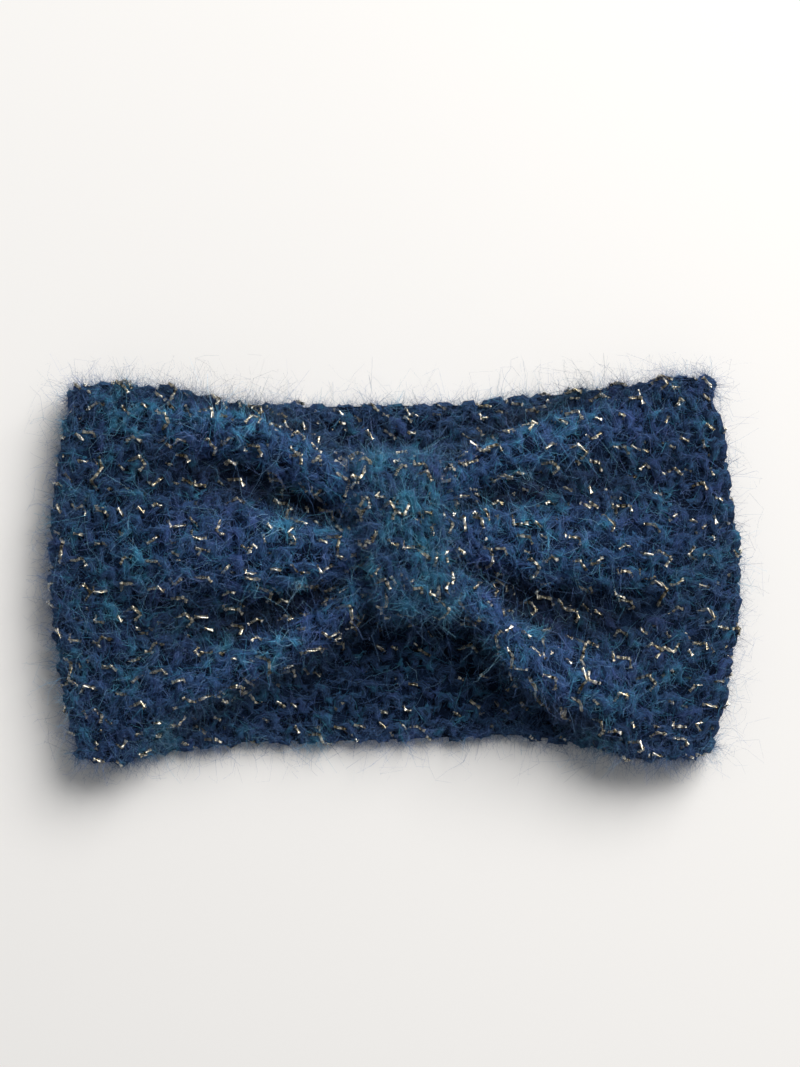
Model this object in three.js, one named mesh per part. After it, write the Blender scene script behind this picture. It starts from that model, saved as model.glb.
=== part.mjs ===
// Knit headband with a gathered front, lying flat. Units are millimetres, +Z is up.
// It is two solids: the band, a flattened loop of thick knit whose front panel is pinched into folds,
// and the centre wrap, a narrow knit ring closed round the pinched front panel.
import * as THREE from "three";

// Thickness of the knit wall, and how far the rounded end of a hem runs past its last row
const WALL = 4.6;
const WALL_PINCHED = 3.2;
const HEM_ROUND = 1.6;

// Heights of the middle of the wall: back panel, and front panel where it lies flat
const BACK_Z = WALL / 2;
const FRONT_Z = 12.8;
const FOLD_RADIUS = (FRONT_Z - BACK_Z) / 2;

// How much narrower the band is drawn at the crest of a side fold, as a fraction
const FOLD_DRAW = 0.028;

// Where the side folds start, measured from the middle, half the depth of the band there, and the outer edge of
// each fold along y
const LEFT_END = -108.4;
const RIGHT_END = 107.4;
const HALF_DEPTH = 62;
const SIDE_EDGE = {
  y: [-60, -53, -43, -30, -17, 0, 10, 23, 36, 47, 60],
  left: [-107.6, -109.6, -111.6, -114, -115.2, -116, -116, -115.2, -113.4, -112, -109.6],
  right: [106, 108, 111, 112.6, 114.8, 115.4, 115, 113, 111, 110, 106.6],
};

// Outline of the band laid flat: its upper and lower hem along x
const OUTLINE = [
  { x: -108.4, top: 62.2, bottom: -62.0 },
  { x: -98, top: 63.2, bottom: -65.4 },
  { x: -80, top: 61.7, bottom: -63.0 },
  { x: -65, top: 59.2, bottom: -60.4 },
  { x: -48, top: 56.0, bottom: -59.2 },
  { x: -15, top: 56.5, bottom: -58.8 },
  { x: 18, top: 56.8, bottom: -57.6 },
  { x: 35, top: 57.8, bottom: -56.8 },
  { x: 52, top: 60.2, bottom: -58.2 },
  { x: 68, top: 61.5, bottom: -61.2 },
  { x: 82, top: 63.2, bottom: -64.2 },
  { x: 97, top: 65.8, bottom: -63.2 },
  { x: 107.4, top: 63.8, bottom: -61.2 },
];

// Fold lines of the front panel, from the upper hem to the lower one. Each row is one line, and its columns
// are the distances from the knot: the pinch, then five sections, then the side fold. A hem that would run
// past the outline follows it.
const LEFT_AT = [-14, -20, -32, -48, -65, -86, LEFT_END];
const LEFT_FOLDS = [
  { line: "upper hem", y: [30.4, 39.2, 48.4, 53.8, 60, 66, 66], z: [15, 13, 13, 13, 12.9, 12.8, 12.8] },
  { line: "upper lobe", y: [24.6, 29.5, 36.5, 44, 48, 49.5, 49], z: [24.4, 25.6, 25, 22.6, 19, 15.4, 12.8] },
  { line: "upper valley", y: [18.2, 17.5, 23.2, 33, 36, 37, 36], z: [11.8, 13, 13.4, 14.6, 15.2, 14.4, 12.8] },
  { line: "middle ridge", y: [11.6, 7, 6.6, 6, 6.5, 9, 13], z: [24.4, 25.4, 25.4, 24.2, 22, 17.8, 12.8] },
  { line: "lower valley", y: [3, -3, -12, -18, -19, -17, -12], z: [13, 13.6, 13.2, 13.2, 14.4, 14.6, 12.8] },
  { line: "lower lobe", y: [-3.4, -10.2, -20.8, -31, -37, -40, -38], z: [21, 22.8, 22.4, 19, 17, 15, 12.8] },
  { line: "lower hem", y: [-8.3, -17.2, -27.4, -38, -44.6, -57, -68], z: [15.6, 14.4, 13, 13, 13, 12.8, 12.8] },
];
const RIGHT_AT = [14, 20, 33, 48, 66, 86, RIGHT_END];
const RIGHT_FOLDS = [
  { line: "upper hem", y: [30.6, 37, 46.4, 53, 61, 68, 68], z: [15, 13, 13, 13, 12.9, 12.8, 12.8] },
  { line: "upper lobe", y: [24.8, 29.4, 36.6, 42, 47, 50, 50], z: [24, 25, 24.8, 22, 18.4, 15, 12.8] },
  { line: "upper valley", y: [18.2, 22, 27, 30, 33, 36, 37], z: [12.4, 14.6, 18.6, 19.4, 17, 14.8, 12.8] },
  { line: "middle ridge", y: [11.6, 13.2, 12, 9.5, 8, 9, 12], z: [24.4, 25.4, 25.6, 24.6, 22, 17.8, 12.8] },
  { line: "lower valley", y: [3, -0.8, -8, -12, -14, -16, -12], z: [13, 13.6, 13, 13, 13.2, 13.4, 12.8] },
  { line: "lower lobe", y: [-3.4, -9.8, -23, -33.5, -37.5, -42, -38], z: [21, 23, 25, 22.6, 20, 15.2, 12.8] },
  { line: "lower hem", y: [-8.3, -18.6, -33, -43.4, -54.4, -67, -67], z: [15.6, 14.4, 13, 13, 13, 12.8, 12.8] },
];

// How round the crests are (0 is a plain wave) and how thick the wall is, by distance from the knot
const PINCH = {
  at: [0, 14, 20, 32, 48, 65, 110],
  round: [1.2, 1.2, 1.15, 0.9, 0.5, 0.2, 0],
  wall: [WALL_PINCHED, WALL_PINCHED, 3.3, 4, WALL, WALL, WALL],
};

// The knot leans: how far its middle is moved in x, by how much per mm of y, and where that has faded
const LEAN = { x: 2.8, y: 11.7, slope: 0.143, whole: 15, none: 50 };

// The centre wrap: the ring's middle line is a rounded oblong in y and z
const WRAP = {
  y: 11.7,
  z: 18.25,
  halfHeight: 24.1,
  halfDepth: 10.95,
  squareness: 4,
  wall: 4.3,
  halfWidthTop: 14.2,
  halfWidthBottom: 12.5,
  bulge: 0.9,
};

// Moves both pieces so that the origin is under the middle of their box
const CENTRE = { x: 0.3, y: -0.27 };

// Mesh steps: round each side fold, across each of the six folds between the seven fold lines, and along
// the front panel. The back panel has one step for each row of the outline.
const FOLD_STEPS = 7;
const STEPS_PER_FOLD = 4;
const FRONT_STATIONS = [14, 16, 18, 20.5, 23.5, 27, 31.5, 37, 43, 50, 58, 66.5, 76, 87, 98];
const PINCH_STATIONS = [-7, 0, 7];
const WRAP_STEPS = 44;
const WRAP_SECTION = [
  { across: 1, out: 0 },
  { across: 0.93, out: 0.72 },
  { across: 0.72, out: 1 },
  { across: 0.36, out: 1 },
  { across: 0, out: 1 },
  { across: -0.36, out: 1 },
  { across: -0.72, out: 1 },
  { across: -0.93, out: 0.72 },
  { across: -1, out: 0 },
  { across: -0.93, out: -0.72 },
  { across: -0.72, out: -1 },
  { across: 0, out: -1 },
  { across: 0.72, out: -1 },
  { across: 0.93, out: -0.72 },
];

const mix = (a, b, t) => a + (b - a) * t;
const smooth = (t) => t * t * (3 - 2 * t);
const clamp01 = (t) => Math.min(1, Math.max(0, t));

// A curve through a table that doesn't overshoot between its values
function curve(xs, ys) {
  const last = xs.length - 1;
  const step = [];
  for (let i = 0; i < last; i++) step.push((ys[i + 1] - ys[i]) / (xs[i + 1] - xs[i]));
  const slope = xs.map((_, i) => {
    if (i === 0 || i === last) return 0;
    const a = step[i - 1];
    const b = step[i];
    return a * b <= 0 ? 0 : (2 * a * b) / (a + b);
  });
  return (x) => {
    let i = 0;
    while (i < last - 1 && x > xs[i + 1]) i++;
    const width = xs[i + 1] - xs[i];
    const t = clamp01((x - xs[i]) / width);
    const s = 1 - t;
    const ends = ys[i] * s * s * (1 + 2 * t) + ys[i + 1] * t * t * (3 - 2 * t);
    return ends + width * (slope[i] * t * s * s - slope[i + 1] * t * t * s);
  };
}

const crestRound = curve(PINCH.at, PINCH.round);
const wallAt = curve(PINCH.at, PINCH.wall);
const topLine = curve(OUTLINE.map((r) => r.x), OUTLINE.map((r) => r.top - HEM_ROUND));
const bottomLine = curve(OUTLINE.map((r) => r.x), OUTLINE.map((r) => r.bottom + HEM_ROUND));
const leftEdge = curve(SIDE_EDGE.y, SIDE_EDGE.left);
const rightEdge = curve(SIDE_EDGE.y, SIDE_EDGE.right);

// How far the side folds, which curve with y, move a station at x
function sideShift(x, y) {
  const side = smooth(clamp01((Math.abs(x) - 60) / 47));
  const inset = FOLD_RADIUS + WALL / 2;
  return side * (x < 0 ? leftEdge(y) + inset - LEFT_END : rightEdge(y) - inset - RIGHT_END);
}

// The last row of the wall at each hem, at a station x
const topEdge = (x) => topLine(x + sideShift(x, HALF_DEPTH));
const bottomEdge = (x) => bottomLine(x + sideShift(x, -HALF_DEPTH));

// Fold lines as functions of the station x, joined across the pinch
const FOLDS = LEFT_FOLDS.map((left, i) => {
  const right = RIGHT_FOLDS[i];
  const xs = [...LEFT_AT].reverse().concat(RIGHT_AT);
  const line = curve(xs, [...left.y].reverse().concat(right.y));
  return {
    y: (x) => Math.max(bottomEdge(x), Math.min(topEdge(x), line(x))),
    z: curve(xs, [...left.z].reverse().concat(right.z)),
  };
});

// Points across the front panel at one station, from the upper hem to the lower one
function frontSection(x) {
  const round = crestRound(Math.abs(x));
  const points = [];
  for (let i = 0; i < FOLDS.length - 1; i++) {
    const a = { y: FOLDS[i].y(x), z: FOLDS[i].z(x) };
    const b = { y: FOLDS[i + 1].y(x), z: FOLDS[i + 1].z(x) };
    for (let k = 0; k < STEPS_PER_FOLD; k++) {
      const t = k / STEPS_PER_FOLD;
      const along = t + (round * Math.sin(2 * Math.PI * t)) / (2 * Math.PI);
      points.push({ y: mix(a.y, b.y, along), z: mix(a.z, b.z, (1 - Math.cos(Math.PI * t)) / 2) });
    }
  }
  const end = FOLDS[FOLDS.length - 1];
  points.push({ y: end.y(x), z: end.z(x) });
  return points;
}

// How far across the band each of those points is, where it lies flat at the side folds
const SIDE_FRACTION = frontSection(LEFT_END).map((p, _, all) => {
  const last = all[all.length - 1];
  return (all[0].y - p.y) / (all[0].y - last.y);
});

// How far the lean of the knot moves it
function knotShift(x, y) {
  const knot = 1 - smooth(clamp01((Math.abs(x) - LEAN.whole) / (LEAN.none - LEAN.whole)));
  return knot * (LEAN.x + (LEAN.y - y) * LEAN.slope);
}

// The middle of the wall as rings, each ring running across the band, in order round the loop
function bandRings() {
  const frontRing = (x) =>
    frontSection(x).map((p) => ({
      x: x + sideShift(x, p.y) + knotShift(x, p.y),
      y: p.y,
      z: p.z,
      wall: wallAt(Math.abs(x)),
    }));
  const foldRing = (x, turn) =>
    SIDE_FRACTION.map((f) => {
      const y = mix(topEdge(x), bottomEdge(x), f);
      const angle = turn * Math.PI;
      return {
        x: x + sideShift(x, y) + Math.sign(x) * FOLD_RADIUS * Math.sin(angle),
        y: y * (1 - FOLD_DRAW * Math.sin(angle)),
        z: BACK_Z + FOLD_RADIUS * (1 + Math.cos(angle)),
        wall: WALL,
      };
    });
  const backRing = (x) =>
    SIDE_FRACTION.map((f) => {
      const y = mix(topEdge(x), bottomEdge(x), f);
      return { x: x + sideShift(x, y), y, z: BACK_Z, wall: WALL };
    });
  const rings = [];
  for (const x of [...FRONT_STATIONS].reverse()) rings.push(frontRing(-x));
  for (const x of [...PINCH_STATIONS, ...FRONT_STATIONS]) rings.push(frontRing(x));
  for (let i = 0; i <= FOLD_STEPS; i++) rings.push(foldRing(RIGHT_END, i / FOLD_STEPS));
  for (const row of OUTLINE.slice(1, -1).reverse()) rings.push(backRing(row.x));
  for (let i = FOLD_STEPS; i >= 0; i--) rings.push(foldRing(LEFT_END, i / FOLD_STEPS));
  return rings;
}

const vector = (p) => new THREE.Vector3(p.x, p.y, p.z);

// Closes a grid of section loops into one mesh: both directions of the grid run round
function closedGrid(loops) {
  const rows = loops.length;
  const columns = loops[0].length;
  const position = loops.flat().flatMap((p) => [p.x, p.y, p.z]);
  const index = [];
  for (let i = 0; i < rows; i++) {
    for (let j = 0; j < columns; j++) {
      const a = i * columns + j;
      const b = i * columns + ((j + 1) % columns);
      const c = ((i + 1) % rows) * columns + j;
      const d = ((i + 1) % rows) * columns + ((j + 1) % columns);
      index.push(a, b, c, b, d, c);
    }
  }
  const geometry = new THREE.BufferGeometry();
  geometry.setAttribute("position", new THREE.Float32BufferAttribute(position, 3));
  geometry.setIndex(index);
  geometry.computeVertexNormals();
  return geometry;
}

// Wall of the band: the outer skin, a rounded hem, the inner skin and the other hem, round every ring
function bandGeometry() {
  const rings = bandRings();
  const count = rings.length;
  const last = rings[0].length - 1;
  const loops = rings.map((ring, i) => {
    const before = rings[(i + count - 1) % count];
    const after = rings[(i + 1) % count];
    const outer = [];
    const inner = [];
    ring.forEach((p, j) => {
      const round = vector(after[j]).sub(vector(before[j]));
      const across = vector(ring[Math.min(j + 1, last)]).sub(vector(ring[Math.max(j - 1, 0)]));
      const normal = across.cross(round).normalize();
      outer.push(vector(p).addScaledVector(normal, p.wall / 2));
      inner.push(vector(p).addScaledVector(normal, -p.wall / 2));
    });
    const hem = (j, next) => {
      const out = vector(ring[j]).sub(vector(ring[next])).normalize();
      return vector(ring[j]).addScaledVector(out, HEM_ROUND);
    };
    return [...outer, hem(last, last - 1), ...inner.reverse(), hem(0, 1)];
  });
  return closedGrid(loops);
}

// Ring of the centre wrap
function wrapGeometry() {
  const fine = 720;
  const path = [];
  for (let i = 0; i < fine; i++) {
    const angle = (2 * Math.PI * i) / fine;
    const c = Math.cos(angle);
    const s = Math.sin(angle);
    const power = 2 / WRAP.squareness;
    path.push({
      y: WRAP.y + WRAP.halfHeight * Math.sign(c) * Math.abs(c) ** power,
      z: WRAP.z + WRAP.halfDepth * Math.sign(s) * Math.abs(s) ** power,
    });
  }
  const length = [0];
  for (let i = 1; i <= fine; i++) {
    const a = path[i - 1];
    const b = path[i % fine];
    length.push(length[i - 1] + Math.hypot(b.y - a.y, b.z - a.z));
  }
  const at = (distance) => {
    let i = 0;
    while (length[i + 1] < distance) i++;
    const t = (distance - length[i]) / (length[i + 1] - length[i]);
    const a = path[i];
    const b = path[(i + 1) % fine];
    return { y: mix(a.y, b.y, t), z: mix(a.z, b.z, t) };
  };
  const loops = [];
  for (let i = 0; i < WRAP_STEPS; i++) {
    const here = (length[fine] * i) / WRAP_STEPS;
    const p = at(here);
    const ahead = at((here + 1.5) % length[fine]);
    const behind = at((here - 1.5 + length[fine]) % length[fine]);
    const size = Math.hypot(ahead.y - behind.y, ahead.z - behind.z);
    const out = { y: (ahead.z - behind.z) / size, z: -(ahead.y - behind.y) / size };
    const up = (p.y - WRAP.y + WRAP.halfHeight) / (2 * WRAP.halfHeight);
    const halfWidth = mix(WRAP.halfWidthBottom, WRAP.halfWidthTop, clamp01(up));
    const bulge = WRAP.bulge * clamp01(out.z + 0.2);
    loops.push(
      WRAP_SECTION.map((s) => {
        const lift = s.out > 0 ? bulge * (1 - s.across ** 2) : 0;
        const distance = (s.out * WRAP.wall) / 2 + lift;
        const y = p.y + out.y * distance;
        const lean = LEAN.x + (LEAN.y - y) * LEAN.slope;
        return { x: lean + s.across * halfWidth, y, z: p.z + out.z * distance };
      }),
    );
  }
  return closedGrid(loops);
}

// Adds one named solid of knit
function piece(group, name, geometry, color) {
  const material = new THREE.MeshStandardMaterial({ color, roughness: 0.95, metalness: 0 });
  const mesh = new THREE.Mesh(geometry, material);
  mesh.name = name;
  mesh.position.set(CENTRE.x, CENTRE.y, 0);
  group.add(mesh);
}

const headband = new THREE.Group();
piece(headband, "band", bandGeometry(), 0x263448);
piece(headband, "centre_wrap", wrapGeometry(), 0x26404e);

export default headband;
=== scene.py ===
"""Dressed model of a wide knit headband that lies flat with a gathered front.

The band and its centre ring are knit stitch by stitch on the same surfaces as the solids: bulky seed stitch
in a dark navy mohair yarn with teal and purple in it, a gold thread wound through the yarn, and a soft halo.
"""

from __future__ import annotations

import logging
import math
import sys
from dataclasses import dataclass, field, replace
from enum import Enum
from typing import Any, Sequence

import bpy
import numpy as np
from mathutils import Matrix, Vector

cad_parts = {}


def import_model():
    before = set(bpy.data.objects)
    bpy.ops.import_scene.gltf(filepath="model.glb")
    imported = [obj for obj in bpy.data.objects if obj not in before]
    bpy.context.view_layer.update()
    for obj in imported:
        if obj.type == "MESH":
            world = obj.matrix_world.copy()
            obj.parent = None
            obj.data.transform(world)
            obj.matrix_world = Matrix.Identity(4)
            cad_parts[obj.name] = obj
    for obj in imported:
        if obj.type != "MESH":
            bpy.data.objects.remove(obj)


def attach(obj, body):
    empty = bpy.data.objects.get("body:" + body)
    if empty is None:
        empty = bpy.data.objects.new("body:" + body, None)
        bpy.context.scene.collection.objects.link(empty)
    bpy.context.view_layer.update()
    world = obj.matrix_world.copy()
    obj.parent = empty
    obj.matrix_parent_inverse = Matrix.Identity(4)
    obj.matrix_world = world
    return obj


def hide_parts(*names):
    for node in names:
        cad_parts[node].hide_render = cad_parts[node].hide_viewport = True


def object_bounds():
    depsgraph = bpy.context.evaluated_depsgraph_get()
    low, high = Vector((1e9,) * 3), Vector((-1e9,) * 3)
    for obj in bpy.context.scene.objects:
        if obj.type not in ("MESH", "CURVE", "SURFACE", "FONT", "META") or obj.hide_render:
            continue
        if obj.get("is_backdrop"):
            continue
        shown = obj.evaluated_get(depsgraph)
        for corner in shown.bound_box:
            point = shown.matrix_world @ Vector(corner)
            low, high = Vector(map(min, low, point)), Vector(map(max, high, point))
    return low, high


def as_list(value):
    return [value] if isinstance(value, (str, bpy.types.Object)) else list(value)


log = logging.getLogger("headband")

MM = 0.001
TAU = 2 * math.pi

# Thickness of the knit wall in the solids and how far a hem rounds off, in mm
WALL = 4.6
HEM_ROUND = 1.6

# Heights of the middle of the back and front panels, radius of the side folds, and how far these draw the
# hems in, as a share
BACK_Z = WALL / 2
FRONT_Z = 12.8
FOLD_RADIUS = (FRONT_Z - BACK_Z) / 2
FOLD_DRAW = 0.028

# How far the tables below are moved along x and y to fit the solids' frame
CENTRE = (0.3, -0.27)

# Points on each side that a fold is compared with, and the height in mm over their mean that counts as 1
FOLD_REACH = 13
FOLD_STEP = 2.8

# Where the side folds start, half the depth there, and their outer edges along y, all in mm
LEFT_END = -108.4
RIGHT_END = 107.4
HALF_DEPTH = 62
SIDE_Y = (-60, -53, -43, -30, -17, 0, 10, 23, 36, 47, 60)
SIDE_LEFT = (-107.6, -109.6, -111.6, -114, -115.2, -116, -116, -115.2, -113.4, -112, -109.6)
SIDE_RIGHT = (106, 108, 111, 112.6, 114.8, 115.4, 115, 113, 111, 110, 106.6)

# Outline of the flat band: columns x, upper hem, lower hem
OUTLINE = (
    (-108.4, 62.2, -62.0),
    (-98, 63.2, -65.4),
    (-80, 61.7, -63.0),
    (-65, 59.2, -60.4),
    (-48, 56.0, -59.2),
    (-15, 56.5, -58.8),
    (18, 56.8, -57.6),
    (35, 57.8, -56.8),
    (52, 60.2, -58.2),
    (68, 61.5, -61.2),
    (82, 63.2, -64.2),
    (97, 65.8, -63.2),
    (107.4, 63.8, -61.2),
)

# Fold lines of the front panel: one row for each line, with its y and then its z at the distances below
LEFT_AT = (-14, -20, -32, -48, -65, -86, LEFT_END)
LEFT_FOLDS = {
    "upper hem": ((30.4, 39.2, 48.4, 53.8, 60, 66, 66), (15, 13, 13, 13, 12.9, 12.8, 12.8)),
    "upper lobe": ((24.6, 29.5, 36.5, 44, 48, 49.5, 49), (24.4, 25.6, 25, 22.6, 19, 15.4, 12.8)),
    "upper valley": ((18.2, 17.5, 23.2, 33, 36, 37, 36), (11.8, 13, 13.4, 14.6, 15.2, 14.4, 12.8)),
    "middle ridge": ((11.6, 7, 6.6, 6, 6.5, 9, 13), (24.4, 25.4, 25.4, 24.2, 22, 17.8, 12.8)),
    "lower valley": ((3, -3, -12, -18, -19, -17, -12), (13, 13.6, 13.2, 13.2, 14.4, 14.6, 12.8)),
    "lower lobe": ((-3.4, -10.2, -20.8, -31, -37, -40, -38), (21, 22.8, 22.4, 19, 17, 15, 12.8)),
    "lower hem": ((-8.3, -17.2, -27.4, -38, -44.6, -57, -68), (15.6, 14.4, 13, 13, 13, 12.8, 12.8)),
}
RIGHT_AT = (14, 20, 33, 48, 66, 86, RIGHT_END)
RIGHT_FOLDS = {
    "upper hem": ((30.6, 37, 46.4, 53, 61, 68, 68), (15, 13, 13, 13, 12.9, 12.8, 12.8)),
    "upper lobe": ((24.8, 29.4, 36.6, 42, 47, 50, 50), (24, 25, 24.8, 22, 18.4, 15, 12.8)),
    "upper valley": ((18.2, 22, 27, 30, 33, 36, 37), (12.4, 14.6, 18.6, 19.4, 17, 14.8, 12.8)),
    "middle ridge": ((11.6, 13.2, 12, 9.5, 8, 9, 12), (24.4, 25.4, 25.6, 24.6, 22, 17.8, 12.8)),
    "lower valley": ((3, -0.8, -8, -12, -14, -16, -12), (13, 13.6, 13, 13, 13.2, 13.4, 12.8)),
    "lower lobe": ((-3.4, -9.8, -23, -33.5, -37.5, -42, -38), (21, 23, 25, 22.6, 20, 15.2, 12.8)),
    "lower hem": ((-8.3, -18.6, -33, -43.4, -54.4, -67, -67), (15.6, 14.4, 13, 13, 13, 12.8, 12.8)),
}

# How rounded the folds are, and the thickness of the wall, at distances from the middle
PINCH_AT = (0, 14, 20, 32, 48, 65, 110)
PINCH_ROUND = (1.2, 1.2, 1.15, 0.9, 0.5, 0.2, 0)
PINCH_WALL = (3.2, 3.2, 3.3, 4, WALL, WALL, WALL)

# Middle of the knot, and how far it leans aside for each mm down
LEAN_X, LEAN_Y, LEAN_SLOPE = 2.8, 11.7, 0.143

# How far past the solids' box a fibre may reach at the sides and over the top, in mm
FIBRE_ROOM = (8.2, 6.7)
FIBRE_TOP = 10.2

# Stitches round the band and rows across it, and stitches across the ring and rows round it
BAND_STITCHES, BAND_ROWS = 56, 24
RING_STITCHES, RING_ROWS = 4, 25

# Lowest that yarn and fibres lie, and the height over which they flatten towards it, in metres
GROUND_GAP = 0.0003
GROUND_EASE = 0.0009

# Lengths of a turn of the yarn and of the gold bundle, and of each straight piece of that, in metres
YARN_TURN = 0.0115
GOLD_TURN = 0.005
GOLD_PIECE = 0.0016

# Width of the yarn's section as a share of its height, and its sides
YARN_WIDE = 1.35
YARN_SIDES = 6

# Threads of the gold bundle in radii from its middle, how far it is from the yarn's middle in radii of the
# yarn, its points on each stitch, and how far it bends in metres
GOLD_THREADS = ((-1.25, -0.6), (1.25, -0.6), (0.0, 1.1))
GOLD_OFF = 1.55
GOLD_STEPS = 8
GOLD_BEND = 0.0013


class MonotoneCurve:
    """A curve through a table that doesn't overshoot between its values."""

    def __init__(self, at: Sequence[float], values: Sequence[float]) -> None:
        """Finds the slope at each entry.

        Args:
            at: Where the entries are, rising.
            values: The entries.
        """
        self.x = np.asarray(at, float)
        self.y = np.asarray(values, float)
        step = np.diff(self.y) / np.diff(self.x)
        before, after = step[:-1], step[1:]
        total = np.where(before * after > 0, before + after, 1.0)
        inner = np.where(before * after > 0, 2 * before * after / total, 0.0)
        self.slope = np.concatenate([[0.0], inner, [0.0]])

    def __call__(self, x: Any) -> Any:
        """Gives the curve's value.

        Args:
            x: One place or an array of places.

        Returns:
            The value at each place.
        """
        i = np.clip(np.searchsorted(self.x, x) - 1, 0, len(self.x) - 2)
        width = self.x[i + 1] - self.x[i]
        t = np.clip((x - self.x[i]) / width, 0, 1)
        s = 1 - t
        ends = self.y[i] * s * s * (1 + 2 * t) + self.y[i + 1] * t * t * (3 - 2 * t)
        return ends + width * (self.slope[i] * t * s * s - self.slope[i + 1] * t * t * s)


def smooth(t: Any) -> Any:
    """Eases a value or array from 0 to 1."""
    t = np.clip(t, 0, 1)
    return t * t * (3 - 2 * t)


def spread(points: np.ndarray, count: int) -> np.ndarray:
    """Spaces points evenly along a line.

    Args:
        points: The line's own points, n by 3.
        count: How many points to return.

    Returns:
        The evenly spaced points, count by 3.
    """
    length = np.concatenate([[0], np.cumsum(np.linalg.norm(np.diff(points, axis=0), axis=1))])
    at = np.linspace(0, length[-1], count)
    return np.stack([np.interp(at, length, points[:, k]) for k in range(3)], axis=1)


def over_fold(height: np.ndarray) -> np.ndarray:
    """Compares the height of each point with the mean height of the cloth round it.

    Args:
        height: Rings by points across, in mm.

    Returns:
        About -1 in a valley and 1 on a ridge.
    """
    reach = min(FOLD_REACH, height.shape[1] // 2)
    wide = np.pad(height, ((0, 0), (reach, reach)), mode="edge")
    total = np.cumsum(np.pad(wide, ((0, 0), (1, 0))), axis=1)
    mean = (total[:, 2 * reach + 1 :] - total[:, : -2 * reach - 1]) / (2 * reach + 1)
    return (height - mean) / FOLD_STEP


@dataclass
class Cloth:
    """The middle surface of a knit piece: rings of points across it, with the side that faces out.

    Attributes:
        points: Rings by points across by 3, in mm. The last ring is the first again.
        wall: Thickness of each ring, as a share of the whole wall.
        around: Stitches round the piece, or rows where its courses run across it.
        across: Rows across the piece, or stitches where its courses run across it.
        crosswise: True where the courses run across the piece.
        margin: Rows or stitches that the chart holds past each hem.
        away: The outward side at each point.
        run: Distance round the piece to each ring, from 0 to 1.
        crest: How far each point lies over the middle of its fold, about -1 in a valley and 1 on a ridge.
    """

    points: np.ndarray
    wall: np.ndarray
    around: int
    across: int
    crosswise: bool = False
    margin: int = 2
    away: np.ndarray = field(init=False)
    run: np.ndarray = field(init=False)
    crest: np.ndarray = field(init=False)

    def __post_init__(self) -> None:
        """Finds the outward side, the distance round and the crests."""
        p = self.points
        along = np.roll(p[:-1], -1, axis=0) - np.roll(p[:-1], 1, axis=0)
        along = np.concatenate([along, along[:1]])
        out = np.cross(np.gradient(p, axis=1), along)
        self.away = out / np.maximum(np.linalg.norm(out, axis=2, keepdims=True), 1e-9)
        steps = np.linalg.norm(np.diff(p, axis=0), axis=2).mean(axis=1)
        run = np.concatenate([[0], np.cumsum(steps)])
        self.run = run / run[-1]
        self.crest = over_fold(p[..., 2])

    @property
    def flat(self) -> tuple[float, float]:
        """Gives the size of the piece laid out flat.

        Returns:
            Its mean length round and its widest measure across, in mm.
        """
        length = np.linalg.norm(np.diff(self.points, axis=0), axis=2).mean(axis=1).sum()
        width = np.linalg.norm(np.diff(self.points, axis=1), axis=2).sum(axis=1).max()
        return float(length), float(width)

    def chart(self) -> dict[str, int]:
        """Tells how stitches and rows lie on the guide.

        Returns:
            Tree inputs by name.
        """
        sizes = {"Whole stitches": self.around, "Whole rows": self.across + 2 * self.margin}
        margins = {"Margin stitches": 0, "Margin rows": self.margin}
        if self.crosswise:
            sizes = {"Whole stitches": sizes["Whole rows"], "Whole rows": sizes["Whole stitches"]}
            margins = {"Margin stitches": self.margin, "Margin rows": 0}
        return {**sizes, **margins}

    def guide(self, name: str) -> bpy.types.Mesh:
        """Makes the surface that the knitting follows, with a margin past both hems.

        Args:
            name: The mesh's name.

        Returns:
            A mesh whose UV map holds stitches and rows, with the outward side and the wall as attributes.
        """
        across = self.points.shape[1]
        row = self.across / (across - 1)
        extra = self.margin / row
        first = self.points[:, :1] + (self.points[:, :1] - self.points[:, 1:2]) * extra
        last = self.points[:, -1:] + (self.points[:, -1:] - self.points[:, -2:-1]) * extra
        mesh = grid_mesh(name, np.concatenate([first, self.points, last], axis=1) * MM)
        whole = self.across + 2 * self.margin
        v = np.concatenate([[0], self.margin + np.arange(across) * row, [whole]]) / whole
        n = across + 2
        point = corners(mesh)
        uv = np.stack([self.run[point // n], v[point % n]], axis=1)
        if self.crosswise:
            uv = uv[:, ::-1]
        mesh.uv_layers.new(name="UVMap").data.foreach_set("uv", uv.ravel())
        kept = (
            ("away", "FLOAT_VECTOR", "vector", to_margins(self.away)),
            ("wall", "FLOAT", "value", np.repeat(self.wall, n)),
            ("crest", "FLOAT", "value", to_margins(self.crest)),
        )
        for label, kind, key, values in kept:
            mesh.attributes.new(label, kind, "POINT").data.foreach_set(key, values.reshape(-1))
        return mesh


def to_margins(values: np.ndarray) -> np.ndarray:
    """Repeats the first and the last value across each ring."""
    return np.concatenate([values[:, :1], values, values[:, -1:]], axis=1)


def corners(mesh: bpy.types.Mesh) -> np.ndarray:
    """Lists the point at each corner of each face.

    Args:
        mesh: The mesh.

    Returns:
        The points' numbers.
    """
    points = np.empty(len(mesh.loops), int)
    mesh.loops.foreach_get("vertex_index", points)
    return points


def quad_mesh(name: str, points: np.ndarray, faces: np.ndarray) -> bpy.types.Mesh:
    """Makes a smooth mesh of quads.

    Args:
        name: The mesh's name.
        points: Its points, with their three numbers last, in metres.
        faces: Its faces, with their four points last.

    Returns:
        The mesh.
    """
    mesh = bpy.data.meshes.new(name)
    mesh.from_pydata(points.reshape(-1, 3).tolist(), [], faces.reshape(-1, 4).tolist())
    mesh.validate()
    mesh.shade_smooth()
    return mesh


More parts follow.
